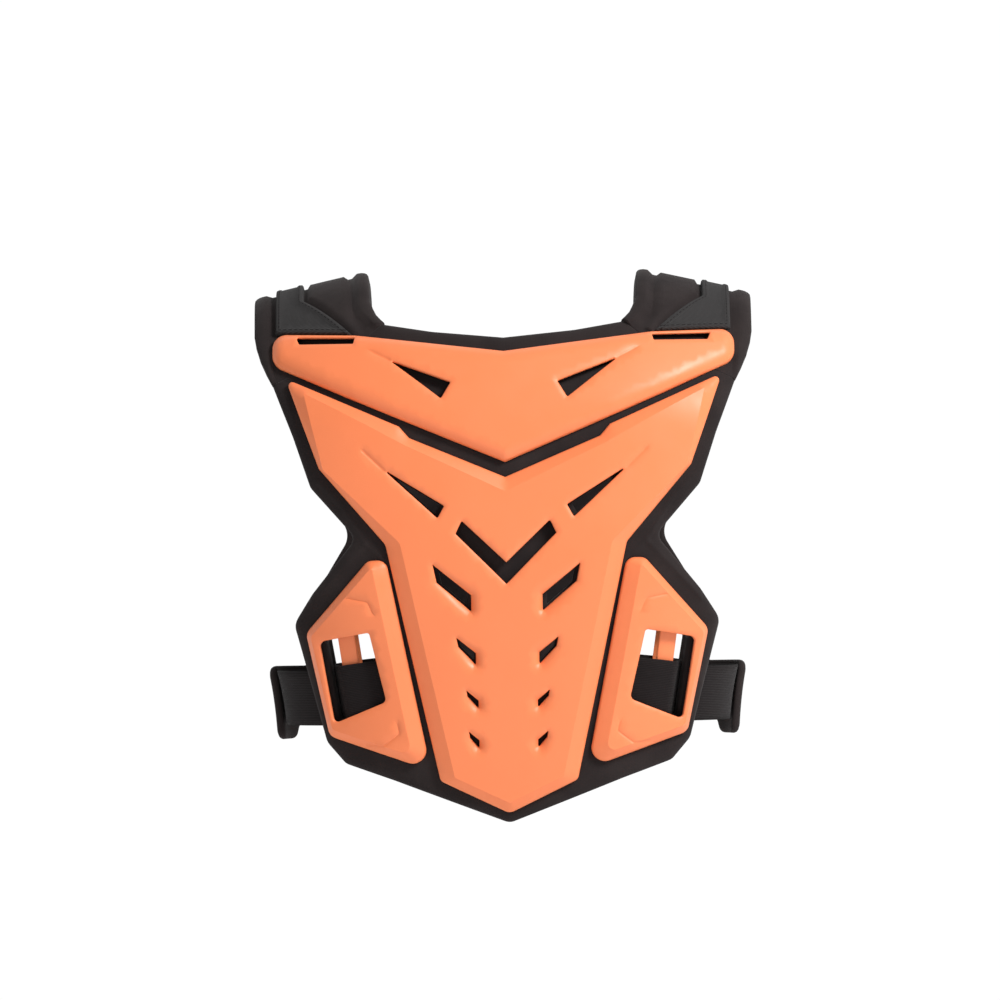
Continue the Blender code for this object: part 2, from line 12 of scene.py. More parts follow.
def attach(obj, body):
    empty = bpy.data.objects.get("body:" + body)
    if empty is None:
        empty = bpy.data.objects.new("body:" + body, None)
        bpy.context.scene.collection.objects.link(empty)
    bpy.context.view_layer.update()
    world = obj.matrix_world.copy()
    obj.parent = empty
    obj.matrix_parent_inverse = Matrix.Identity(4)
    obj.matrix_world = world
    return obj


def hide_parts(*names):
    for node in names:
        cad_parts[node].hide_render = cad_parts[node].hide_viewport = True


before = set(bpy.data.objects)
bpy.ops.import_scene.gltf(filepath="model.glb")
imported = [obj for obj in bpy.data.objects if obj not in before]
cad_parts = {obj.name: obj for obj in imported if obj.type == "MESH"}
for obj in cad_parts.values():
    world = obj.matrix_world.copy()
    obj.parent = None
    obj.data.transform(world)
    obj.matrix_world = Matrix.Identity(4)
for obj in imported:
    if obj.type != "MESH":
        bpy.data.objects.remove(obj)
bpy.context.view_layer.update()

# Sizes shared with the construction
HALF_SPAN = 0.185
DROP = 0.394
BACK_DEPTH = 0.122
FRONT_DEPTH = 0.114
PAD_THICKNESS = 0.007
SHOULDER_PAD_THICKNESS = 0.009
PLATE_THICKNESS = 0.0025
PLATE_RISE = 0.0045
SIDE_PLATE_RISE = 0.0055
PLATE_GAP = 0.0055
CENTRE_GAP = 0.0110
CORNER_ROUND = 0.010
STRAP_WIDTH = 0.040
STRAP_THICKNESS = 0.0016
SHOULDER_STRAP_THICKNESS = 0.003
SEAT_CLEARANCE = 0.0007
SEAM_CLEARANCE = 0.0005
STRAP_CLEARANCE = 0.0012
FLANK_CLEARANCE = 0.0022
SQUARENESS = 2.6
RIDGE_RADIUS = 0.110
RIDGE_RISE = 0.0395
RIDGE_SLOPE = 0.235
RIDGE_SOFTNESS = 0.040
WRAP_START = 0.97
BACK = -1
FRONT = 1

# Finish sizes
PLATE_STEP = 0.0045
PAD_STEP = 0.0050
LINE_STEP = 0.0035
EDGE_RADIUS = 0.0014
PAD_ROLL = 0.0065
PAD_FALL = 0.0036
HOLE_ROLL = 0.0012
ARC_STEP = 0.0012
TAIL_DEPTH = 0.0012
TAIL_HALF = 0.0012
LIP_DEPTH = 0.0038
LIP_REACH = 0.0050
RELIEF_DEPTH = 0.0009
RELIEF_HALF = 0.0008
ARMPIT_LIFT = 0.0010
ARMPIT_HALF = 0.0022
BAND_LIFT = 0.0024
COLLAR_LIFT = 0.0028
PANEL_LIFT = 0.0028
FIELD_EDGE = 0.0042
PANEL_EDGE = 0.0026
BINDING_LIFT = 0.0007
BINDING_WIDTH = 0.0046
BINDING_EDGE = 0.0008
STITCH_INSET = 0.0028
STITCH_LENGTH = 0.0030
STITCH_GAP = 0.0012
STITCH_WIDTH = 0.00045
STITCH_LIFT = 0.0004
STITCH_SUNK = 0.0003
STITCH_WALK = 0.0005
WEB_ROLL = 0.0016
STRAP_STEP = 0.0015
VIEW_WIDTH = 0.74
VIEW_DISTANCE = 10.0
VIEW_ROLL = 0.8
FLOOR_LEVEL = -0.62
ON_LINE = 2e-5
SLIVER = 1e-6

Section = namedtuple("Section", "drop half_width back_depth front_depth")
Corner = namedtuple("Corner", "across drop round")
Vent = namedtuple("Vent", "outer inner outer_top inner_top inner_base outer_base")

TORSO = (
    Section(-0.10, 1.26, 0.66, 0.72),
    Section(0.08, 1.27, 0.77, 0.84),
    Section(0.25, 1.25, 0.93, 0.97),
    Section(0.50, 1.12, 1.00, 1.00),
    Section(0.76, 0.957, 0.94, 0.97),
    Section(1.05, 0.93, 0.83, 0.92),
)
BACK_SEAM = (Corner(0.476, 0.056, 0.0), Corner(0.605, 0.107, 0.0), Corner(0.930, 0.172, 0.0))
FRONT_SEAM = (Corner(0.500, 0.090, 0.0), Corner(0.620, 0.125, 0.0), Corner(0.930, 0.172, 0.0))
BACK_NECKLINE = (Corner(0.0, 0.084, 0.0), Corner(0.286, 0.071, 6.0))
BACK_FLANK = (
    Corner(0.852, 0.270, 4.0),
    Corner(0.784, 0.366, 1.0),
    Corner(0.603, 0.462, 0.8),
    Corner(0.784, 0.566, 3.0),
    Corner(0.862, 0.622, 1.2),
    Corner(0.735, 0.845, 1.4),
    Corner(0.660, 0.885, 1.0),
    Corner(0.460, 0.918, 1.0),
    Corner(0.0, 1.0, 1.0),
)
FRONT_NECKLINE = (Corner(0.0, 0.235, 0.0), Corner(0.300, 0.215, 4.0), Corner(0.440, 0.130, 3.0))
FRONT_FLANK = (
    Corner(0.800, 0.300, 4.0),
    Corner(0.640, 0.460, 1.5),
    Corner(0.784, 0.570, 3.0),
    Corner(0.850, 0.626, 1.2),
    Corner(0.805, 0.706, 0.6),
    Corner(1.045, 0.706, 0.8),
    Corner(1.040, 0.842, 0.8),
    Corner(0.885, 0.842, 0.5),
    Corner(0.870, 0.815, 0.3),
    Corner(0.745, 0.815, 0.3),
    Corner(0.735, 0.845, 1.0),
    Corner(0.660, 0.882, 1.0),
    Corner(0.0, 0.905, 4.0),
)
YOKE_TOP = (Corner(0.0, 0.117, 0.0), Corner(0.589, 0.0845, 2.0), Corner(0.922, 0.081, 1.1))
YOKE_BASE = (Corner(0.922, 0.138, 1.1), Corner(0.638, 0.197, 4.0), Corner(0.0, 0.323, 0.0))
YOKE_FACE_INSET = 0.007
YOKE_SLOT = (
    Corner(0.822, 0.0925, 0.1),
    Corner(0.588, 0.0935, 0.1),
    Corner(0.594, 0.1065, 0.1),
    Corner(0.808, 0.1065, 0.1),
)
YOKE_VENT = (Corner(0.454, 0.137, 0.05), Corner(0.211, 0.178, 0.1), Corner(0.251, 0.207, 0.1))
SPINE_TOP_ACROSS = 0.870
SPINE_STEP_ACROSS = 0.400
SPINE_STEP_RUN = 0.020
SPINE_SIDE = (
    Corner(0.740, 0.331, 0.4),
    Corner(0.480, 0.474, 0.8),
    Corner(0.273, 0.918, 0.5),
    Corner(0.0, 0.980, 0.8),
)
SPINE_FACE = (
    Corner(0.400, 0.290, 0.0),
    Corner(0.550, 0.251, 0.0),
    Corner(0.790, 0.196, 0.0),
    Corner(0.715, 0.334, 0.0),
    Corner(0.418, 0.472, 0.8),
    Corner(0.214, 0.910, 0.0),
    Corner(0.0, 0.958, 0.0),
)
SPINE_UPPER_VENT = (Corner(0.486, 0.333, 0.05), Corner(0.243, 0.404, 0.1), Corner(0.270, 0.427, 0.1))
SPINE_CHEVRON = (
    Corner(0.0, 0.510, 0.0),
    Corner(0.175, 0.432, 0.1),
    Corner(0.200, 0.456, 0.1),
    Corner(0.0, 0.550, 0.0),
)
SPINE_VENTS = (
    Vent(0.292, 0.142, 0.512, 0.570, 0.601, 0.546),
    Vent(0.202, 0.126, 0.648, 0.678, 0.701, 0.666),
    Vent(0.165, 0.118, 0.747, 0.767, 0.782, 0.759),
    Vent(0.157, 0.117, 0.824, 0.841, 0.857, 0.836),
)
YOKE_TAIL = ((0.450, 0.138), (0.520, 0.122))
VENT_LEAN = 0.1
SPINE_TAIL = ((0.480, 0.336), (0.560, 0.300))
PAD_VENT_SHARE = 0.75
PAD_VENTS = (SPINE_VENTS[0], SPINE_VENTS[1])
SIDE_PLATE = (
    Corner(0.478, 0.503, 0.8),
    Corner(0.551, 0.504, 0.7),
    Corner(0.797, 0.637, 0.8),
    Corner(0.708, 0.832, 0.8),
    Corner(0.311, 0.898, 1.0),
)
WINDOW_TOP = (Corner(0.541, 0.636, 0.2), Corner(0.732, 0.651, 0.4))
WINDOW_BASE = (Corner(0.676, 0.806, 0.3), Corner(0.476, 0.766, 0.4))
BAR_TOP_ACROSS = 0.645
BAR_BASE_ACROSS = 0.592
BAR_WIDTH = 0.0127
BAR_THICKNESS = 0.0015
BAR_TUCK = 0.005
CHEST_PLATE = (
    Corner(0.0, 0.290, 0.0),
    Corner(0.620, 0.190, 3.0),
    Corner(0.865, 0.178, 1.0),
    Corner(0.735, 0.320, 1.0),
    Corner(0.482, 0.470, 1.0),
    Corner(0.300, 0.845, 0.8),
    Corner(0.0, 0.872, 2.0),
)
CHEST_FACE_INSET = 0.011
SHOULDER_NECK_ACROSS = 0.541
SHOULDER_OUTER_ACROSS = 1.0
SHOULDER_BEND_ACROSS = 0.520
GREY_INNER_ACROSS = 0.798
GREY_OUTER_ACROSS = 0.908
GREY_FLARE_ACROSS = 0.605
GREY_FLARE_DROP = 0.020
GREY_FRONT_DROP = 0.130
ARMPIT_RIDGES = (
    ((0.748, 0.353), (0.661, 0.394), (0.560, 0.471), (0.469, 0.511)),
    ((0.560, 0.471), (0.706, 0.545), (0.778, 0.582)),
)
SIDE_BANDS = (0.0060, 0.0060, 0.0060, 0.0070, 0.0100)
SIDE_RELIEF = (
    ((0.622, 0.571), (0.546, 0.579), (0.526, 0.600)),
    ((0.434, 0.810), (0.426, 0.826), (0.488, 0.849), (0.550, 0.846)),
)
BAND_CREASE_ACROSS = 0.926
BAND_FOOT_ACROSS = 0.912
NECK_CREASE_ACROSS = 0.606
PANEL_NECK_ACROSS = 0.622
PANEL_OUTER_ACROSS = 0.785
STRAP_WINDOW_DROP = 0.741
STRAP_FLANK_DROP = 0.762
STRAP_LEAN = 0.17
STRAP_END_ACROSS = 0.420
FLANK_STATIONS = 36


def smooth_share(drop, column):
    """A value of the torso table at drop shares, on a smooth curve through its rows."""
    drops = np.array([row.drop for row in TORSO])
    values = np.array([getattr(row, column) for row in TORSO])
    last = len(TORSO) - 2
    index = np.clip(np.searchsorted(drops, drop, side="left") - 1, 0, last)
    before = np.maximum(index - 1, 0)
    after = np.minimum(index + 2, len(TORSO) - 1)
    span = drops[index + 1] - drops[index]
    share = np.clip((drop - drops[index]) / span, 0.0, 1.0)
    slope_in = (values[index + 1] - values[before]) / (drops[index + 1] - drops[before]) * span
    slope_out = (values[after] - values[index]) / (drops[after] - drops[index]) * span
    square, cube = share ** 2, share ** 3
    return ((2 * cube - 3 * square + 1) * values[index] + (cube - 2 * square + share) * slope_in
            + (3 * square - 2 * cube) * values[index + 1] + (cube - square) * slope_out)


def half_width(z):
    """Half the torso's width at height z."""
    return HALF_SPAN * smooth_share(-z / DROP, "half_width")


def depth(z, side):
    """How far the torso reaches behind or in front at height z."""
    back = BACK_DEPTH * smooth_share(-z / DROP, "back_depth")
    front = FRONT_DEPTH * smooth_share(-z / DROP, "front_depth")
    return np.where(side < 0, back, front)


def ridge_height(x):
    """Height of the shoulder's ridge line."""
    return RIDGE_RISE - RIDGE_SLOPE * np.hypot(x, RIDGE_SOFTNESS)


def oval(angle, width, deep):
    power = 2.0 / SQUARENESS
    return width * np.sin(angle) ** power, deep * np.maximum(np.cos(angle), 0.0) ** power


def wrapped(x, width, deep):
    """Points of the oval at |x|; past WRAP_START the rest of x is measured along the curve."""
    size = np.abs(x)
    knee = WRAP_START * width
    angle = np.arcsin(np.clip(np.minimum(size, knee) / width, 0.0, 1.0) ** (SQUARENESS / 2.0))
    across, out = oval(angle, width, deep)
    left = size - knee
    start = math.asin(WRAP_START ** (SQUARENESS / 2.0))
    here = oval(np.full_like(size, start), width, deep)
    steps = 24
    for index in range(1, steps + 1):
        there = oval(np.full_like(size, start + (math.pi / 2.0 - start) * index / steps), width, deep)
        length = np.hypot(there[0] - here[0], there[1] - here[1])
        share = np.clip(left / length, 0.0, 1.0)
        moving = left > 0.0
        across = np.where(moving, here[0] + (there[0] - here[0]) * share, across)
        out = np.where(moving, here[1] + (there[1] - here[1]) * share, out)
        left = left - length
        here = there
    return across, out


def torso_points(x, z, side):
    across, out = wrapped(x, half_width(z), depth(z, side))
    fall = np.clip((ridge_height(x) - z) / RIDGE_RADIUS, 0.0, 1.0)
    roll = np.sqrt(np.maximum(1.0 - (1.0 - fall) ** 2, 0.0))
    return np.stack([np.copysign(across, x), side * out * roll, z], axis=-1)


def back_surface(x, z):
    return torso_points(x, z, np.full_like(x, BACK))


def front_surface(x, z):
    return torso_points(x, z, np.full_like(x, FRONT))


def shoulder_surface(x, along):
    z = ridge_height(x) - RIDGE_RADIUS * (1.0 - np.cos(along / RIDGE_RADIUS))
    return torso_points(x, z, np.where(along < 0, BACK, FRONT))


def shoulder_along(x, z, side):
    share = 1.0 - (ridge_height(x) - z) / RIDGE_RADIUS
    return float(side * RIDGE_RADIUS * np.arccos(np.clip(share, -1.0, 1.0)))


def surface_normals(surface, x, along):
    step = 0.0005
    across = surface(x + step, along) - surface(x - step, along)
    up = surface(x, along + step) - surface(x, along - step)
    normal = np.cross(across, up)
    normal /= np.linalg.norm(normal, axis=-1, keepdims=True)
    return -normal if surface is front_surface else normal


def laid(surface, flat, height):
    """Flat points laid on a surface, each at its height along the normal."""
    x, along = flat[:, 0], flat[:, 1]
    return surface(x, along) + surface_normals(surface, x, along) * np.asarray(height)[:, None]


def place(corner, sign=1):
    return Vector((sign * corner.across * HALF_SPAN, -corner.drop * DROP))


def fillet(spots, radii):
    """A closed outline whose corners are rounded by arcs of the given radii."""
    points = []
    for index, (spot, radius) in enumerate(zip(spots, radii)):
        before = spots[index - 1] - spot
        after = spots[(index + 1) % len(spots)] - spot
        if radius <= 0.0:
            points.append(spot)
            continue
        half = before.angle(after) / 2.0
        run = min(radius / math.tan(half), 0.49 * before.length, 0.49 * after.length)
        radius = run * math.tan(half)
        halfway = (before.normalized() + after.normalized()).normalized()
        middle = spot + halfway * radius / math.sin(half)
        first = spot + before.normalized() * run - middle
        last = spot + after.normalized() * run - middle
        sweep = first.angle_signed(last)
        steps = int(min(14, max(3, abs(sweep) * radius / ARC_STEP)))
        for step in range(steps + 1):
            turn = -sweep * step / steps
            spun = Vector((first.x * math.cos(turn) - first.y * math.sin(turn),
                           first.x * math.sin(turn) + first.y * math.cos(turn)))
            points.append(middle + spun)
    return points


def rounded(corners, sign=1):
    spots = [place(corner, sign) for corner in corners]
    return fillet(spots, [corner.round * CORNER_ROUND for corner in corners])


def both_halves(corners):
    """A right half whose first and last corners may lie on the centre line, with its mirror half."""
    left = [Corner(-row.across, row.drop, row.round) for row in reversed(corners)]
    if corners[-1].across == 0.0:
        left = left[1:]
    if corners[0].across == 0.0:
        left = left[:-1]
    return list(corners) + left


def resampled(points, step, closed=True):
    count = len(points) if closed else len(points) - 1
    result = []
    for index in range(count):
        start, end = points[index], points[(index + 1) % len(points)]
        pieces = max(1, math.ceil((end - start).length / step - 0.01))
        result.extend(start.lerp(end, piece / pieces) for piece in range(pieces))
    if not closed:
        result.append(points[-1])
    return result


def inset(points, distance):
    area = sum(a.x * b.y - b.x * a.y for a, b in zip(points, points[1:] + points[:1]))
    side = 1.0 if area > 0.0 else -1.0
    result = []
    for index, point in enumerate(points):
        into = (point - points[index - 1]).normalized()
        away = (points[(index + 1) % len(points)] - point).normalized()
        normal = Vector((-into.y - away.y, into.x + away.x)) * side
        normal.normalize()
        spread = max(normal.dot(Vector((-into.y, into.x)) * side), 0.5)
        result.append(point + normal * distance / spread)
    return result


def contained(points, flat):
    """Which flat points lie inside a closed outline."""
    inside = np.zeros(len(flat), bool)
    for a, b in zip(points, points[1:] + points[:1]):
        if a.y == b.y:
            continue
        crosses = (a.y > flat[:, 1]) != (b.y > flat[:, 1])
        reach = a.x + (b.x - a.x) * (flat[:, 1] - a.y) / (b.y - a.y)
        inside ^= crosses & (flat[:, 0] < reach)
    return inside


def segments(points, closed=True):
    ends = points[1:] + points[:1] if closed else points[1:]
    return list(zip(points, ends))


def distances(points, flat, closed=True):
    """Distance of each flat point from a line."""
    return nearest_to(segments(points, closed), flat)


def nearest_to(pieces, flat):
    """Distance of each flat point from the nearest of some line segments."""
    nearest = np.full(len(flat), np.inf)
    for a, b in pieces:
        edge = np.array(b - a)
        offset = flat - np.array(a)
        share = np.clip(offset @ edge / max(edge @ edge, 1e-14), 0.0, 1.0)
        nearest = np.minimum(nearest, np.hypot(*(offset - share[:, None] * edge).T))
    return nearest


def filled(outline, holes, guides, step, paths=()):
    """Triangles that fill an outline round its holes, with edges along the guides and paths."""
    lines = [(resampled(line, LINE_STEP), True) for line in [outline, *holes, *guides]]
    lines += [(resampled(path, LINE_STEP, False), False) for path in paths]
    spots, edges = [], []
    for line, closed in lines:
        first = len(spots)
        spots.extend(line)
        last = len(line) if closed else len(line) - 1
        edges.extend((first + i, first + (i + 1) % len(line)) for i in range(last))
    low = Vector((min(p.x for p in outline), min(p.y for p in outline)))
    high = Vector((max(p.x for p in outline), max(p.y for p in outline)))
    row_step = step * math.sqrt(0.75)
    rows = int((high.y - low.y) / row_step) + 1
    columns = int((high.x - low.x) / (2 * step)) + 1
    middle = (low.x + high.x) / 2
    grid = np.array([(middle + 0.5 * step * (row % 2) + column * step, low.y + row * row_step)
                     for row in range(rows) for column in range(-columns, columns + 1)])
    grid = grid[contained(outline, grid)]
    clear = np.full(len(grid), np.inf)
    for line, closed in lines:
        clear = np.minimum(clear, distances(line, grid, closed))
    spots.extend(Vector(spot) for spot in grid[clear > 0.55 * step])
    verts, _, faces, *_ = delaunay_2d_cdt(spots, edges, [], 0, 1e-7)
    flat = np.array(verts)
    faces = np.array([face for face in faces if len(face) == 3])
    centres = flat[faces].mean(axis=1)
    keep = contained(outline, centres) & (distances(outline, centres) > SLIVER)
    for hole in holes:
        keep &= ~contained(hole, centres) & (distances(hole, centres) > SLIVER)
    faces = faces[keep]
    used, faces = np.unique(faces, return_inverse=True)
    return flat[used], faces.reshape(-1, 3)


def new_piece(name, points, faces, material, node, uvs=None):
    mesh = bpy.data.meshes.new(name)
    mesh.from_pydata([tuple(point) for point in points], [], [tuple(face) for face in faces])
    mesh.update()
    if uvs is not None:
        layer = mesh.uv_layers.new(name="UVMap")
        indices = np.zeros(len(mesh.loops), np.int32)
        mesh.loops.foreach_get("vertex_index", indices)
        layer.data.foreach_set("uv", np.asarray(uvs)[indices].astype(np.float32).ravel())
    mesh.materials.append(material)
    mesh.shade_smooth()
    piece = bpy.data.objects.new(name, mesh)
    bpy.context.scene.collection.objects.link(piece)
    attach(piece, "root")
    if node is not None:
        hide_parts(node)
    return piece


def closed_sheet(name, flat, faces, surface, top, bottom, material, node, sharp=None):
    """A closed sheet between two heights over a surface, with walls round its borders."""
    count = len(flat)
    points = np.concatenate([laid(surface, flat, top), laid(surface, flat, bottom)])
    if surface is front_surface:
        faces = faces[:, ::-1]
    edges = {}
    for face in faces:
        for a, b in zip(face, np.roll(face, -1)):
            edges[(int(a), int(b))] = True
    walls = [(a, a + count, b + count, b) for a, b in edges if (b, a) not in edges]
    shell = [tuple(int(i) for i in face) for face in faces]
    shell += [tuple(int(i) + count for i in face[::-1]) for face in faces]
    shell += walls
    uvs = np.concatenate([flat, flat])
    piece = new_piece(name, points, shell, material, node, uvs)
    if sharp is not None:
        both = np.concatenate([sharp, np.zeros(count, bool)])
        for edge in piece.data.edges:
            if both[edge.vertices[0]] and both[edge.vertices[1]]:
                edge.use_edge_sharp = True
    return piece


def rounded_fall(distance, radius):
    """How far a rounded edge falls below its flat top at a distance from the edge."""
    left = np.clip(1.0 - distance / radius, 0.0, 1.0)
    return radius * (1.0 - np.sqrt(np.maximum(1.0 - left ** 2, 0.0)))


def band_share(flat, outline, face):
    """0 on the outline, 1 on and inside the face, and even between them."""
    out = distances(outline, flat)
    into = np.where(contained(face, flat), 0.0, distances(face, flat))
    return np.where(into < ON_LINE, 1.0, out / np.maximum(out + into, 1e-9))


def dips(flat, grooves):
    """Depth of the shallow grooves: each is a line, a depth and a half width."""
    total = np.zeros(len(flat))
    for line, deep, half in grooves:
        total += deep * np.exp(-(distances(line, flat, False) / half) ** 2)
    return total


def scoops(flat, vents):
    """Depth of the sloping lip under each vent: its outline, a depth and a reach."""
    total = np.zeros(len(flat))
    for vent, deep, reach in vents:
        low = min(point.y for point in vent)
        high = max(point.y for point in vent)
        below = np.clip((0.5 * (low + high) - flat[:, 1]) / (0.6 * (high - low)) + 0.5, 0.0, 1.0)
        near = np.clip(1.0 - distances(vent, flat) / reach, 0.0, 1.0)
        total = np.maximum(total, deep * near * below)
    return total


def beside(line, distance):
    """A line parallel to an open one."""
    result = []
    for index, point in enumerate(line):
        run = line[min(index + 1, len(line) - 1)] - line[max(index - 1, 0)]
        run.normalize()
        result.append(point + Vector((-run.y, run.x)) * distance)
    return result


def groove_paths(grooves):
    """Mesh lines along each groove's floor and both its edges."""
    lines = []
    for line, deep, half in grooves:
        lines += [beside(line, share * half) for share in (-1.8, -0.8, 0.0, 0.8, 1.8)]
    return lines


def make_plate(node, outline, holes, face, rise, surface, material, grooves=(), vents=(),
               soft=False):
    """A moulded plate: rounded rims, a bevelled band up to its face, and its vents' lips."""
    guides = [face, inset(resampled(outline, LINE_STEP), 0.4 * EDGE_RADIUS)]
    guides += [inset(resampled(outline, LINE_STEP), EDGE_RADIUS)]
    for hole in holes:
        guides.append(inset(resampled(hole, LINE_STEP), -0.6 * EDGE_RADIUS))
    for vent, deep, reach in vents:
        guides.append(inset(resampled(vent, LINE_STEP), -reach))
    flat, faces = filled(outline, holes, guides, PLATE_STEP, groove_paths(grooves))
    share = band_share(flat, outline, face)
    if soft:
        share = np.sin(0.5 * np.pi * share)
    top = SEAT_CLEARANCE + PLATE_THICKNESS + rise * share
    bottom = top - PLATE_THICKNESS
    edge = distances(outline, flat)
    top = top - rounded_fall(edge, EDGE_RADIUS)
    for hole in holes:
        top = top - rounded_fall(distances(hole, flat), 0.6 * EDGE_RADIUS)
    top = top - dips(flat, grooves) - scoops(flat, vents)
    bottom = np.minimum(bottom, top - 0.5 * PLATE_THICKNESS)
    sharp = None if soft else distances(face, flat) < ON_LINE
    closed_sheet(node + "_finish", flat, faces, surface, top, bottom, material,
                 node, sharp)


def smooth_step(value):
    value = np.clip(value, 0.0, 1.0)
    return value * value * (3.0 - 2.0 * value)


def raised(flat, outline, height, edge):
    """A moulded field that rises inside an outline over a soft edge."""
    inside = contained(outline, flat)
    return np.where(inside, height * smooth_step(distances(outline, flat) / edge), 0.0)


def make_pad(node, outline, holes, surface, thickness, material, seam=(), fields=(), grooves=()):
    """A foam pad: a rolled rim except along its seam, raised fields and pressed grooves."""
    base = resampled(outline, LINE_STEP)
    guides = [inset(base, share * PAD_ROLL) for share in (0.12, 0.35, 0.7, 1.0)]
    for hole in holes:
        guides.append(inset(resampled(hole, LINE_STEP), -HOLE_ROLL))
    for field, height, edge in fields:
        guides += [field, inset(resampled(field, LINE_STEP), edge)]
    flat, faces = filled(outline, holes, guides, PAD_STEP, groove_paths(grooves))
    rim = segments(base)
    if seam:
        middles = np.array([(a + b) / 2 for a, b in rim])
        on_seam = nearest_to(seam, middles) < ON_LINE
        rim = [piece for piece, joined in zip(rim, on_seam) if not joined]
    left = np.clip(1.0 - nearest_to(rim, flat) / PAD_ROLL, 0.0, 1.0)
    roll = PAD_FALL * (1.0 - np.sqrt(np.maximum(1.0 - left ** 2, 0.0)))
    top = -roll - dips(flat, grooves)
    for field, height, edge in fields:
        top = top + raised(flat, field, height, edge)
    for hole in holes:
        top = top - rounded_fall(distances(hole, flat), HOLE_ROLL)
    bottom = np.full(len(flat), -thickness) + 0.4 * roll
    piece = closed_sheet(node + "_finish", flat, faces, surface, top, bottom, material,
                         node)


def make_stitches(name, line, surface, height, material):
    """A row of short threads along a line on a surface."""
    points, faces = [], []
    walk = np.array(resampled(line, STITCH_WALK, False))
    run = np.concatenate([[0.0], np.cumsum(np.hypot(*np.diff(walk, axis=0).T))])
    pitch = STITCH_LENGTH + STITCH_GAP
    shares = np.array([0.0, 0.15, 0.5, 0.85, 1.0])
    swells = (0.2, 0.9, 1.0, 0.9, 0.2)
    for index in range(int((run[-1] - STITCH_GAP) / pitch)):
        stops = STITCH_GAP + index * pitch + STITCH_LENGTH * shares
        flat = np.stack([np.interp(stops, run, walk[:, 0]), np.interp(stops, run, walk[:, 1])], axis=-1)
        ahead = flat[-1] - flat[0]
        ahead /= np.hypot(*ahead)
        aside = np.array([-ahead[1], ahead[0]]) * STITCH_WIDTH
        first = len(points)
        for spot, swell in zip(flat, swells):
            ring = np.array([spot + aside * swell, spot, spot - aside * swell])
            low = height - STITCH_SUNK
            points.extend(laid(surface, ring, [low, height + STITCH_LIFT * swell, low]))
        for step in range(len(stops) - 1):
            for side in range(2):
                corner = first + 3 * step + side
                faces.append((corner, corner + 3, corner + 4, corner + 1))
    new_piece(name, points, faces, material, None)


def vent_corners(vent):
    return (
        Corner(vent.outer, vent.outer_top, 0.03),
        Corner(vent.inner, vent.inner_top, 0.06),
        Corner(vent.inner, vent.inner_base, 0.06),
        Corner(vent.outer - VENT_LEAN * (vent.outer - vent.inner), vent.outer_base, 0.03),
    )


def paired(corner_lists):
    return [rounded(corners, sign) for corners in corner_lists for sign in (1, -1)]


def shrunk(points, share):
    """An outline scaled towards its centre."""
    centre = sum(points, Vector((0.0, 0.0))) / len(points)
    return [centre + (point - centre) * share for point in points]


def banded(corners, widths, sign):
    """The corners of a face whose bands along the outline's edges have their own widths."""
    spots = [place(corner, sign) for corner in corners]
    centre = sum(spots, Vector((0.0, 0.0))) / len(spots)
    lines = []
    for start, end, width in zip(spots, spots[1:] + spots[:1], widths):
        run = (end - start).normalized()
        normal = Vector((-run.y, run.x))
        if normal.dot(centre - start) < 0.0:
            normal = -normal
        lines.append((start + normal * width, run))
    result = []
    for (a, run_a), (b, run_b) in zip(lines[-1:] + lines[:-1], lines):
        cross = run_a.x * run_b.y - run_a.y * run_b.x
        offset = b - a
        result.append(a + run_a * ((offset.x * run_b.y - offset.y * run_b.x) / cross))
    return result


def edge_drop(first, last, across):
    share = (across - first.across) / (last.across - first.across)
    return first.drop + (last.drop - first.drop) * share


def across_at(first, last, drop):
    share = (drop - first.drop) / (last.drop - first.drop)
    return first.across + (last.across - first.across) * share


def yoke_lower_edge(across):
    for outer, inner in zip(YOKE_BASE, YOKE_BASE[1:]):
        if across >= inner.across:
            share = (across - inner.across) / (outer.across - inner.across)
            return inner.drop + (outer.drop - inner.drop) * share
    return YOKE_BASE[-1].drop


def below_yoke(across, gap, round_share=0.0):
    return Corner(across, yoke_lower_edge(across) + gap / DROP, round_share)


def window_outline(sign):
    return rounded(WINDOW_TOP + WINDOW_BASE, sign)


def spine_outline():
    top = (
        below_yoke(0.0, CENTRE_GAP),
        below_yoke(SPINE_STEP_ACROSS - SPINE_STEP_RUN, CENTRE_GAP),
        below_yoke(SPINE_STEP_ACROSS + SPINE_STEP_RUN, PLATE_GAP),
        below_yoke(SPINE_TOP_ACROSS, PLATE_GAP, 0.3),
    )
    return rounded(both_halves(top + SPINE_SIDE))


def path(rows, sign):
    return [place(Corner(across, drop, 0.0), sign) for across, drop in rows]


def make_back_pad(material):
    corners = BACK_NECKLINE + BACK_SEAM + BACK_FLANK
    vents = [SPINE_UPPER_VENT] + [vent_corners(vent) for vent in PAD_VENTS]
    holes = [shrunk(points, PAD_VENT_SHARE) for points in paired(vents)]
    holes += [window_outline(1), window_outline(-1)]
    outline = rounded(both_halves(corners))
    ridges = [(path(line, sign), -ARMPIT_LIFT, ARMPIT_HALF)
              for line in ARMPIT_RIDGES for sign in (1, -1)]
    make_pad("back_pad", outline, holes, back_surface, PAD_THICKNESS, material,
             seam_edges(BACK_SEAM), grooves=ridges)


def make_front_pad(material):
    corners = FRONT_NECKLINE + FRONT_SEAM + FRONT_FLANK
    holes = [window_outline(1), window_outline(-1)]
    outline = rounded(both_halves(corners))
    make_pad("front_pad", outline, holes, front_surface, PAD_THICKNESS, material,
             seam_edges(FRONT_SEAM))


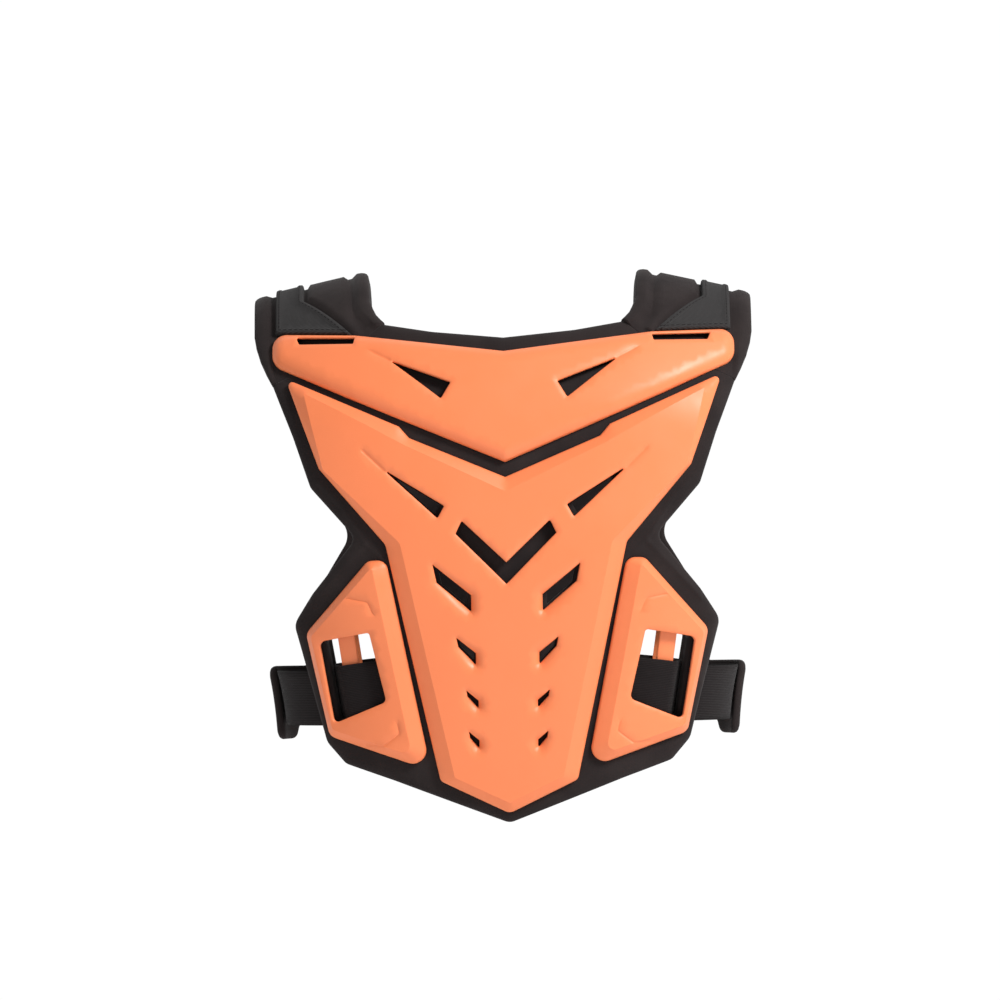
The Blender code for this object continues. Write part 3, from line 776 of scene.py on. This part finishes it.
def make_yoke_plate(material):
    outline = rounded(both_halves(YOKE_TOP + YOKE_BASE))
    face = inset(resampled(outline, LINE_STEP), YOKE_FACE_INSET)
    holes = paired([YOKE_VENT]) + paired([YOKE_SLOT])
    tails = [(path(YOKE_TAIL, sign), TAIL_DEPTH, TAIL_HALF) for sign in (1, -1)]
    make_plate("back_yoke_plate", outline, holes, face, PLATE_RISE, back_surface, material, tails,
               soft=True)


def make_spine_plate(material):
    face = rounded(both_halves((below_yoke(0.0, 2 * CENTRE_GAP),) + SPINE_FACE))
    rows = paired([vent_corners(vent) for vent in SPINE_VENTS])
    holes = paired([SPINE_UPPER_VENT]) + rows
    holes.append(rounded(both_halves(SPINE_CHEVRON)))
    tails = [(path(SPINE_TAIL, sign), TAIL_DEPTH, TAIL_HALF) for sign in (1, -1)]
    vents = [(vent, LIP_DEPTH, LIP_REACH) for vent in rows]
    make_plate("back_spine_plate", spine_outline(), holes, face, PLATE_RISE, back_surface,
               material, tails, vents)


def make_side_plate(node, sign, surface, material):
    outline = rounded(SIDE_PLATE, sign)
    spots = banded(SIDE_PLATE, SIDE_BANDS, sign)
    face = fillet(spots, [0.5 * corner.round * CORNER_ROUND for corner in SIDE_PLATE])
    grooves = [(path(line, sign), RELIEF_DEPTH, RELIEF_HALF) for line in SIDE_RELIEF]
    make_plate(node, outline, [window_outline(sign)], face, SIDE_PLATE_RISE, surface, material,
               grooves)


def make_strap_bar(node, sign, surface, material):
    half = 0.5 * BAR_WIDTH / HALF_SPAN
    tuck = BAR_TUCK / DROP
    top = edge_drop(*WINDOW_TOP, BAR_TOP_ACROSS) - tuck
    base = edge_drop(*WINDOW_BASE, BAR_BASE_ACROSS) + tuck
    corners = [Corner(BAR_TOP_ACROSS - half, top, 0.0), Corner(BAR_TOP_ACROSS + half, top, 0.0)]
    corners += [Corner(BAR_BASE_ACROSS + half, base, 0.0), Corner(BAR_BASE_ACROSS - half, base, 0.0)]
    outline = rounded(corners, sign)
    guides = [inset(resampled(outline, LINE_STEP), share * EDGE_RADIUS) for share in (0.3, 0.8)]
    flat, faces = filled(outline, [], guides, PLATE_STEP)
    top = SEAM_CLEARANCE + BAR_THICKNESS - rounded_fall(distances(outline, flat), 0.8 * EDGE_RADIUS)
    bottom = np.full(len(flat), SEAM_CLEARANCE)
    closed_sheet(node + "_finish", flat, faces, surface, top, bottom, material,
                 node)


def make_chest_plate(material):
    outline = rounded(both_halves(CHEST_PLATE))
    face = inset(resampled(outline, LINE_STEP), CHEST_FACE_INSET)
    make_plate("front_chest_plate", outline, [], face, PLATE_RISE, front_surface, material)


def seam_edges(seam):
    """A seam's line segments on both halves."""
    result = []
    for sign in (1, -1):
        line = [place(corner, sign) for corner in seam]
        result += segments(line, False)
    return result


def seam_points(seam, sign, side):
    """A seam's points in the shoulder's flat plan."""
    spots = [place(corner, sign) for corner in seam]
    return [Vector((spot.x, shoulder_along(spot.x, spot.y, side))) for spot in spots]


def shoulder_spot(across, drop, side, sign):
    """A point of the shoulder's flat plan; side 0 is the ridge, where drop is the distance along."""
    x = sign * across * HALF_SPAN
    if side == 0:
        return Vector((x, drop))
    return Vector((x, shoulder_along(x, -drop * DROP, side)))


def shoulder_line(rows, sign):
    return [shoulder_spot(across, drop, side, sign) for across, drop, side in rows]


def make_shoulder_pad(node, sign, material):
    back = seam_points(BACK_SEAM, sign, BACK)
    front = seam_points(FRONT_SEAM, sign, FRONT)
    neck = SHOULDER_NECK_ACROSS
    neck_line = shoulder_line([
        (0.490, 0.050, BACK), (0.508, 0.041, BACK), (SHOULDER_BEND_ACROSS, 0.030, BACK),
        (0.534, 0.014, BACK), (neck, -0.012, 0), (neck, 0.012, 0), (0.536, 0.014, FRONT),
        (SHOULDER_BEND_ACROSS, 0.036, FRONT), (0.508, 0.070, FRONT)], sign)
    outer = SHOULDER_OUTER_ACROSS
    outer_line = shoulder_line([
        (0.952, 0.152, BACK), (0.975, 0.128, BACK), (0.992, 0.102, BACK), (outer, 0.080, BACK),
        (outer, 0.080, FRONT), (0.992, 0.102, FRONT), (0.975, 0.128, FRONT),
        (0.952, 0.152, FRONT)], sign)
    outline = back + outer_line + front[::-1] + neck_line[::-1]
    seams = segments(back, False) + segments(front, False)
    band = shoulder_line([
        (BAND_FOOT_ACROSS, 0.190, BACK), (BAND_CREASE_ACROSS, -0.030, 0),
        (BAND_CREASE_ACROSS, 0.030, 0), (BAND_FOOT_ACROSS, 0.190, FRONT),
        (1.040, 0.190, FRONT), (1.040, 0.190, BACK)], sign)
    collar = shoulder_line([
        (0.470, 0.080, BACK), (0.530, 0.067, BACK), (0.585, 0.046, BACK), (0.600, 0.030, BACK),
        (NECK_CREASE_ACROSS, -0.012, 0), (NECK_CREASE_ACROSS, 0.012, 0), (0.600, 0.030, FRONT),
        (0.590, 0.070, FRONT), (0.580, 0.140, FRONT), (0.440, 0.140, FRONT), (0.500, 0.0, 0),
        (0.440, 0.040, BACK)], sign)
    panel = shoulder_line([
        (0.560, 0.078, BACK), (0.600, 0.052, BACK), (PANEL_NECK_ACROSS, -0.014, 0),
        (PANEL_NECK_ACROSS, 0.014, 0), (0.606, 0.070, FRONT), (0.596, 0.140, FRONT),
        (PANEL_OUTER_ACROSS, 0.160, FRONT), (PANEL_OUTER_ACROSS, 0.0, 0),
        (PANEL_OUTER_ACROSS, 0.015, BACK), (0.645, 0.064, BACK), (0.600, 0.090, BACK)], sign)
    fields = [(band, BAND_LIFT, FIELD_EDGE), (collar, COLLAR_LIFT, FIELD_EDGE)]
    fields.append((panel, PANEL_LIFT, PANEL_EDGE))
    make_pad(node, outline, [], shoulder_surface, SHOULDER_PAD_THICKNESS, material, seams, fields)


def make_shoulder_strap(node, sign, material, thread):
    gap = SEAT_CLEARANCE / DROP
    foot_inner = edge_drop(YOKE_TOP[1], YOKE_TOP[2], GREY_FLARE_ACROSS) - gap
    foot_outer = edge_drop(YOKE_TOP[1], YOKE_TOP[2], GREY_OUTER_ACROSS) - gap
    outline = shoulder_line([
        (GREY_FLARE_ACROSS, foot_inner, BACK), (GREY_INNER_ACROSS, GREY_FLARE_DROP, BACK),
        (GREY_INNER_ACROSS, GREY_FRONT_DROP, FRONT), (GREY_OUTER_ACROSS, GREY_FRONT_DROP, FRONT),
        (GREY_OUTER_ACROSS, foot_outer, BACK)], sign)
    base = resampled(outline, LINE_STEP)
    guides = [inset(base, share) for share in (0.0006, 0.0016, 0.0038, 0.0047)]
    flat, faces = filled(outline, [], guides, PAD_STEP)
    edge = distances(outline, flat)
    binding = BINDING_LIFT * smooth_step((BINDING_WIDTH - edge) / BINDING_EDGE)
    top = SEAM_CLEARANCE + SHOULDER_STRAP_THICKNESS + binding - rounded_fall(edge, WEB_ROLL)
    bottom = np.full(len(flat), SEAM_CLEARANCE)
    closed_sheet(node + "_finish", flat, faces, shoulder_surface, top, bottom, material,
                 node)
    line = inset(base, STITCH_INSET)
    level = SEAM_CLEARANCE + SHOULDER_STRAP_THICKNESS + BINDING_LIFT
    make_stitches(node + "_stitches", line + line[:1], shoulder_surface, level, thread)


def strap_stations():
    """Distance across and height of the strap's outer face, from its sewn end to the flank."""
    over = 2.0 * SEAM_CLEARANCE + BAR_THICKNESS + STRAP_CLEARANCE + STRAP_THICKNESS
    under = -PAD_THICKNESS - FLANK_CLEARANCE
    flat = STRAP_CLEARANCE + STRAP_THICKNESS
    top = Corner(BAR_TOP_ACROSS, edge_drop(*WINDOW_TOP, BAR_TOP_ACROSS), 0.0)
    base = Corner(BAR_BASE_ACROSS, edge_drop(*WINDOW_BASE, BAR_BASE_ACROSS), 0.0)
    bar = across_at(top, base, STRAP_WINDOW_DROP) * HALF_SPAN
    edge = across_at(WINDOW_TOP[1], WINDOW_BASE[0], STRAP_WINDOW_DROP) * HALF_SPAN
    frame_edge = across_at(WINDOW_TOP[0], WINDOW_BASE[1], STRAP_WINDOW_DROP) * HALF_SPAN
    return [
        (STRAP_END_ACROSS * HALF_SPAN, flat),
        (frame_edge, flat),
        (bar - 0.5 * BAR_WIDTH - STRAP_CLEARANCE, over),
        (bar, over),
        (bar + 0.5 * BAR_WIDTH + 0.5 * STRAP_CLEARANCE, over),
        (edge - STRAP_CLEARANCE, under),
        (edge + BAR_WIDTH, under),
    ]


def make_side_strap(node, sign, material):
    """Ribbed elastic from the back window round the flank to the front window."""
    stations = strap_stations()
    across = np.array([x for x, height in stations])
    heights = np.array([height for x, height in stations])
    walk = np.concatenate([np.arange(across[0], across[-1], STRAP_STEP), across[-1:]])
    height = np.interp(walk, across, heights)
    kernel = np.array([0.25, 0.5, 0.25])
    for _ in range(3):
        height[1:-1] = np.convolve(height, kernel, "valid")
    level = -STRAP_FLANK_DROP * DROP
    window_level = -STRAP_WINDOW_DROP * DROP
    width = float(half_width(np.array([level]))[0])
    begin = math.asin((walk[-1] / width) ** (SQUARENESS / 2.0))
    turns = begin + (math.pi / 2.0 - begin) * np.arange(1, FLANK_STATIONS + 1) / FLANK_STATIONS
    rises = STRAP_WIDTH * (np.linspace(0.0, 1.0, 9) - 0.5)
    columns = []
    for side, surface in ((BACK, back_surface), (FRONT, front_surface)):
        half = []
        for x, up in zip(walk, height):
            share = np.clip((x - walk[0]) / (walk[-1] - walk[0]), 0.0, 1.0) ** 2
            z = window_level + (level - window_level) * share + rises
            xs = x + STRAP_LEAN * rises
            flat = np.stack([xs, z], axis=-1)
            half.append(laid(surface, flat, np.full(len(rises), up)))
        for turn in turns if side == BACK else turns[:-1]:
            z = level + rises
            wide, deep = half_width(z), depth(z, np.full(len(z), side))
            spot = oval(np.full(len(z), turn), wide, deep)
            ahead = oval(np.full(len(z), min(turn + 0.01, math.pi / 2.0)), wide, deep)
            behind = oval(np.full(len(z), turn - 0.01), wide, deep)
            run = np.stack([ahead[0] - behind[0], ahead[1] - behind[1]])
            run /= np.linalg.norm(run, axis=0)
            half.append(np.stack([spot[0] - run[1] * height[-1],
                                  side * (spot[1] + run[0] * height[-1]), z], axis=-1))
        columns += half if side == BACK else half[::-1]
    grid = np.array(columns)
    grid[..., 0] *= sign
    count, wide = grid.shape[:2]
    along = np.concatenate([[0.0], np.cumsum(np.linalg.norm(np.diff(grid[:, 4], axis=0), axis=1))])
    run = np.gradient(grid, axis=0)
    up = np.gradient(grid, axis=1)
    normal = np.cross(run, up)
    normal /= np.linalg.norm(normal, axis=-1, keepdims=True)
    normal *= sign
    inner = grid - normal * STRAP_THICKNESS
    points = np.concatenate([grid.reshape(-1, 3), inner.reshape(-1, 3)])
    half = count * wide
    faces = []

    def quad(a, b, c, d):
        faces.append((a, b, c, d) if sign > 0 else (d, c, b, a))

    for i in range(count - 1):
        for j in range(wide - 1):
            a = i * wide + j
            quad(a, a + wide, a + wide + 1, a + 1)
            quad(half + a + 1, half + a + wide + 1, half + a + wide, half + a)
        a, b = i * wide, i * wide + wide - 1
        quad(a, half + a, half + a + wide, a + wide)
        quad(b + wide, half + b + wide, half + b, b)
    for j in range(wide - 1):
        a, b = j, (count - 1) * wide + j
        quad(a + 1, half + a + 1, half + a, a)
        quad(b, half + b, half + b + 1, b + 1)
    uv = np.stack(np.broadcast_arrays(along[:, None], rises[None, :]), axis=-1).reshape(-1, 2)
    new_piece(node + "_finish", points, faces, material, node,
              np.concatenate([uv, uv]))


def base_material(name, colour, roughness):
    material = bpy.data.materials.new(name)
    material.use_nodes = True
    tree = material.node_tree
    shader = tree.nodes["Principled BSDF"]
    shader.inputs["Base Color"].default_value = (*colour, 1.0)
    shader.inputs["Roughness"].default_value = roughness
    return material, tree, shader


def noise(tree, coordinates, scale, detail=2.0, roughness=0.5):
    node = tree.nodes.new("ShaderNodeTexNoise")
    node.inputs["Scale"].default_value = scale
    node.inputs["Detail"].default_value = detail
    node.inputs["Roughness"].default_value = roughness
    tree.links.new(coordinates, node.inputs["Vector"])
    return node.outputs["Fac"]


def ramp(tree, source, low, high, start=0.3, end=0.7):
    node = tree.nodes.new("ShaderNodeMapRange")
    node.inputs["From Min"].default_value = start
    node.inputs["From Max"].default_value = end
    node.inputs["To Min"].default_value = low
    node.inputs["To Max"].default_value = high
    tree.links.new(source, node.inputs["Value"])
    return node.outputs["Result"]


def tint(tree, shader, source, first, second):
    node = tree.nodes.new("ShaderNodeMix")
    node.data_type = "RGBA"
    node.inputs["A"].default_value = (*first, 1.0)
    node.inputs["B"].default_value = (*second, 1.0)
    tree.links.new(source, node.inputs["Factor"])
    tree.links.new(node.outputs["Result"], shader.inputs["Base Color"])


def bump(tree, shader, source, distance, strength=1.0, after=None):
    node = tree.nodes.new("ShaderNodeBump")
    node.inputs["Distance"].default_value = distance
    node.inputs["Strength"].default_value = strength
    tree.links.new(source, node.inputs["Height"])
    if after is not None:
        tree.links.new(after, node.inputs["Normal"])
    tree.links.new(node.outputs["Normal"], shader.inputs["Normal"])
    return node.outputs["Normal"]


def orange_plastic():
    material, tree, shader = base_material("orange_plastic_finish", (0.92, 0.30, 0.10), 0.42)
    shader.inputs["Specular IOR Level"].default_value = 0.45
    place_at = tree.nodes.new("ShaderNodeTexCoord").outputs["Object"]
    broad = noise(tree, place_at, 9.0, 3.0)
    tint(tree, shader, ramp(tree, broad, 0.0, 1.0), (0.90, 0.228, 0.082), (0.94, 0.245, 0.092))
    fine = noise(tree, place_at, 900.0, 2.0)
    tree.links.new(ramp(tree, noise(tree, place_at, 60.0), 0.38, 0.50), shader.inputs["Roughness"])
    bump(tree, shader, fine, 0.00008, 0.6)
    return material


def black_fabric():
    material, tree, shader = base_material("black_foam_finish", (0.030, 0.026, 0.027), 0.85)
    shader.inputs["Sheen Weight"].default_value = 0.05
    shader.inputs["Specular IOR Level"].default_value = 0.15
    shader.inputs["Sheen Roughness"].default_value = 0.5
    place_at = tree.nodes.new("ShaderNodeTexCoord").outputs["UV"]
    broad = noise(tree, place_at, 30.0, 3.0)
    tint(tree, shader, ramp(tree, broad, 0.0, 1.0), (0.0160, 0.0115, 0.0115), (0.0250, 0.0185, 0.0180))
    knit = tree.nodes.new("ShaderNodeTexVoronoi")
    knit.inputs["Scale"].default_value = 900.0
    knit.inputs["Randomness"].default_value = 0.25
    tree.links.new(place_at, knit.inputs["Vector"])
    first = bump(tree, shader, knit.outputs["Distance"], 0.00025, 0.7)
    bump(tree, shader, noise(tree, place_at, 70.0, 3.0), 0.0007, 0.5, first)
    return material


def webbing(name, dark, light, rib):
    material, tree, shader = base_material(name, dark, 0.9)
    shader.inputs["Sheen Weight"].default_value = 0.04
    shader.inputs["Specular IOR Level"].default_value = 0.12
    place_at = tree.nodes.new("ShaderNodeTexCoord").outputs["UV"]
    waves = []
    for direction, scale in (("X", rib), ("Y", rib * 0.6)):
        wave = tree.nodes.new("ShaderNodeTexWave")
        wave.bands_direction = direction
        wave.inputs["Scale"].default_value = scale
        wave.inputs["Distortion"].default_value = 0.6
        wave.inputs["Detail"].default_value = 1.0
        tree.links.new(place_at, wave.inputs["Vector"])
        waves.append(wave.outputs["Fac"])
    both = tree.nodes.new("ShaderNodeMath")
    both.operation = "MULTIPLY"
    tree.links.new(waves[0], both.inputs[0])
    tree.links.new(waves[1], both.inputs[1])
    tint(tree, shader, ramp(tree, both.outputs["Value"], 0.0, 1.0, 0.0, 1.0), dark, light)
    bump(tree, shader, both.outputs["Value"], 0.0004, 0.8)
    return material


def floor_material():
    material, tree, shader = base_material("floor_finish", (0.90, 0.90, 0.90), 0.7)
    place_at = tree.nodes.new("ShaderNodeTexCoord").outputs["Object"]
    tint(tree, shader, noise(tree, place_at, 2.0), (0.89, 0.89, 0.89), (0.92, 0.92, 0.92))
    return material


def make_floor():
    """A plain pale floor below the vest."""
    bpy.ops.mesh.primitive_plane_add(size=1.0, location=(0.0, -2.7, FLOOR_LEVEL))
    floor = bpy.context.object
    floor.name = "floor"
    floor.scale = (12.0, 9.0, 1.0)
    floor.data.materials.append(floor_material())


def add_area(name, location, target, size, power):
    data = bpy.data.lights.new(name, "AREA")
    data.energy = power
    data.size = size
    lamp = bpy.data.objects.new(name, data)
    lamp.location = location
    lamp.rotation_euler = (Vector(target) - Vector(location)).to_track_quat("-Z", "Y").to_euler()
    bpy.context.scene.collection.objects.link(lamp)


def make_lights():
    """A white wall of light beyond the vest, dimmer light on this side, and a key from the right."""
    world = bpy.data.worlds.new("studio")
    world.use_nodes = True
    tree = world.node_tree
    back = tree.nodes["Background"]
    back.inputs["Color"].default_value = (1.0, 1.0, 1.0, 1.0)
    split = tree.nodes.new("ShaderNodeSeparateXYZ")
    tree.links.new(tree.nodes.new("ShaderNodeTexCoord").outputs["Generated"], split.inputs["Vector"])
    tree.links.new(ramp(tree, split.outputs["Y"], 0.34, 1.02, -0.1, 0.6), back.inputs["Strength"])
    bpy.context.scene.world = world
    middle = (0.0, 0.0, -0.19)
    add_area("key", (1.9, -1.6, 1.7), middle, 0.9, 100.0)
    add_area("fill", (-1.6, -2.2, 0.2), middle, 1.8, 3.0)
    bpy.context.scene.view_settings.view_transform = "Standard"


def make_camera():
    """At the height of the vest, straight behind it; the frame is 0.74 m wide at the vest."""
    data = bpy.data.cameras.new("camera")
    camera = bpy.data.objects.new("camera", data)
    bpy.context.scene.collection.objects.link(camera)
    target = Vector((-0.004, -0.08, -0.155))
    data.sensor_width = 36.0
    data.lens = data.sensor_width * VIEW_DISTANCE / VIEW_WIDTH
    camera.location = target + Vector((0.0, -VIEW_DISTANCE, 0.0))
    camera.rotation_euler = (math.radians(90.0), math.radians(VIEW_ROLL), 0.0)
    bpy.context.scene.camera = camera


make_camera()
make_lights()
make_floor()

orange = orange_plastic()
black = black_fabric()
elastic = webbing("black_webbing_finish", (0.010, 0.0075, 0.0078), (0.026, 0.021, 0.021), 420.0)
grey = webbing("grey_webbing_finish", (0.028, 0.026, 0.026), (0.062, 0.060, 0.060), 380.0)

make_back_pad(black)
make_front_pad(black)
make_yoke_plate(orange)
make_spine_plate(orange)
make_chest_plate(orange)
for hand, sign in (("left", -1), ("right", 1)):
    for where, surface in (("back", back_surface), ("front", front_surface)):
        make_side_plate(f"{where}_side_plate_{hand}", sign, surface, orange)
        make_strap_bar(f"{where}_strap_bar_{hand}", sign, surface, orange)
    make_shoulder_pad("shoulder_pad_" + hand, sign, black)
    make_shoulder_strap("shoulder_strap_" + hand, sign, grey, elastic)
    make_side_strap("side_strap_" + hand, sign, elastic)
